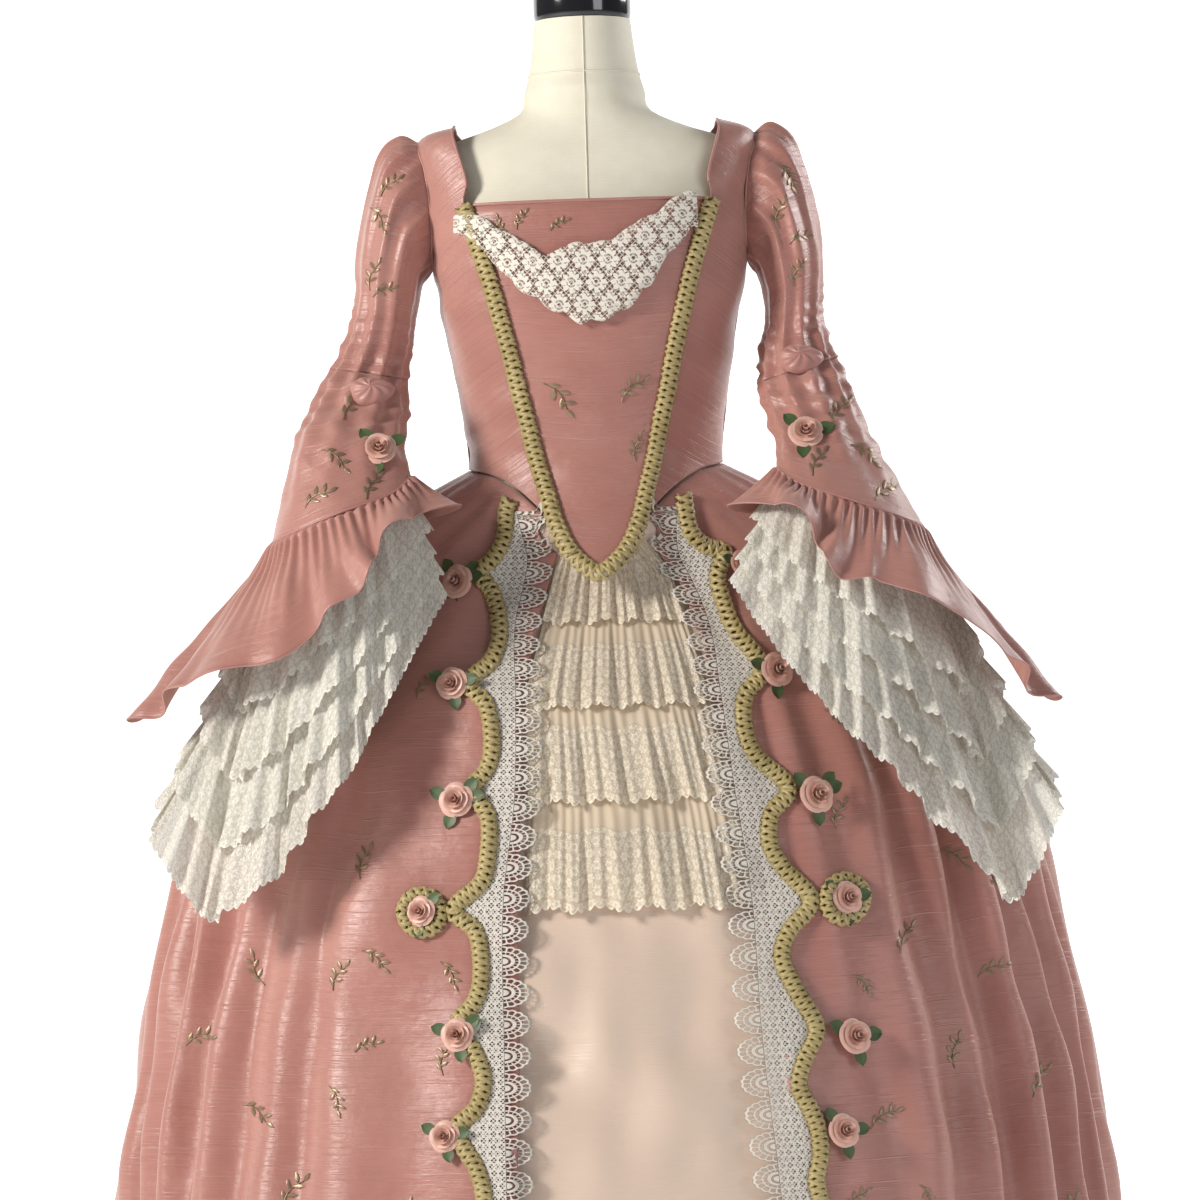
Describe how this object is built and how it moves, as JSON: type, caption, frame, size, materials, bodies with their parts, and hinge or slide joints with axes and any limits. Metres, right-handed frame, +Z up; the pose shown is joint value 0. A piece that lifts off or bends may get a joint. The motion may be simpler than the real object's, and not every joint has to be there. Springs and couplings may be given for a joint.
{
  "type": "ball gown on a dress form",
  "caption": "Pink silk ball gown in the robe style with a cream ruffled petticoat, elbow lace and rose trim, on a limbless linen dress form.",
  "frame": {"origin": "on the floor, at the middle of the stand's round base, on its underside", "axes": "+Z up, along the neck; the wearer's front faces -Y and +X is at the right of a viewer in front"},
  "size_m": [1.04, 0.8949, 1.524],
  "materials": {
    "linen": "plain linen",
    "black_cap": "gloss",
    "stand": "satin",
    "pink_silk": "slubbed silk with a sheen",
    "ivory_lace": "floral lace",
    "white_lace": "raised white lace",
    "cream_satin": "satin",
    "cream_lace": "sheer with a lace edge",
    "olive_braid": "plaited braid",
    "rose_satin": "satin"
  },
  "bodies": {
    "root": {"form_torso": "linen", "form_neck_cap": "black_cap", "form_pole": "stand", "form_base": "stand", "bodice_stomacher": "pink_silk", "bodice_front_left": "pink_silk", "bodice_front_right": "pink_silk", "bodice_back_left": "pink_silk", "bodice_back_right": "pink_silk", "overskirt_left": "pink_silk", "overskirt_right": "pink_silk", "overskirt_back": "pink_silk", "petticoat_front": "cream_satin", "petticoat_back": "cream_satin", "petticoat_ruffle_1": "cream_lace", "petticoat_ruffle_2": "cream_lace", "petticoat_ruffle_3": "cream_lace", "petticoat_ruffle_4": "cream_lace", "overskirt_braid_left": "olive_braid", "overskirt_ring_left": "olive_braid", "overskirt_lace_left": "white_lace", "overskirt_braid_right": "olive_braid", "overskirt_ring_right": "olive_braid", "overskirt_lace_right": "white_lace", "stomacher_braid": "olive_braid", "bodice_lace": "white_lace", "rose_skirt_01": "rose_satin", "rose_skirt_02": "rose_satin", "rose_skirt_03": "rose_satin", "rose_skirt_04": "rose_satin", "rose_skirt_05": "rose_satin", "rose_skirt_06": "rose_satin", "rose_skirt_07": "rose_satin", "rose_skirt_08": "rose_satin", "rose_skirt_09": "rose_satin", "rose_skirt_10": "rose_satin", "rose_skirt_11": "rose_satin", "rose_skirt_12": "rose_satin", "sleeve_upper_left": "pink_silk", "sleeve_lower_left": "pink_silk", "sleeve_flounce_left": "pink_silk", "sleeve_lace_left_1": "ivory_lace", "sleeve_lace_left_2": "ivory_lace", "sleeve_lace_left_3": "ivory_lace", "sleeve_lace_left_4": "ivory_lace", "rose_sleeve_left": "rose_satin", "elbow_knot_left": "rose_satin", "sleeve_upper_right": "pink_silk", "sleeve_lower_right": "pink_silk", "sleeve_flounce_right": "pink_silk", "sleeve_lace_right_1": "ivory_lace", "sleeve_lace_right_2": "ivory_lace", "sleeve_lace_right_3": "ivory_lace", "sleeve_lace_right_4": "ivory_lace", "rose_sleeve_right": "rose_satin", "elbow_knot_right": "rose_satin"}
  },
  "joints": []
}
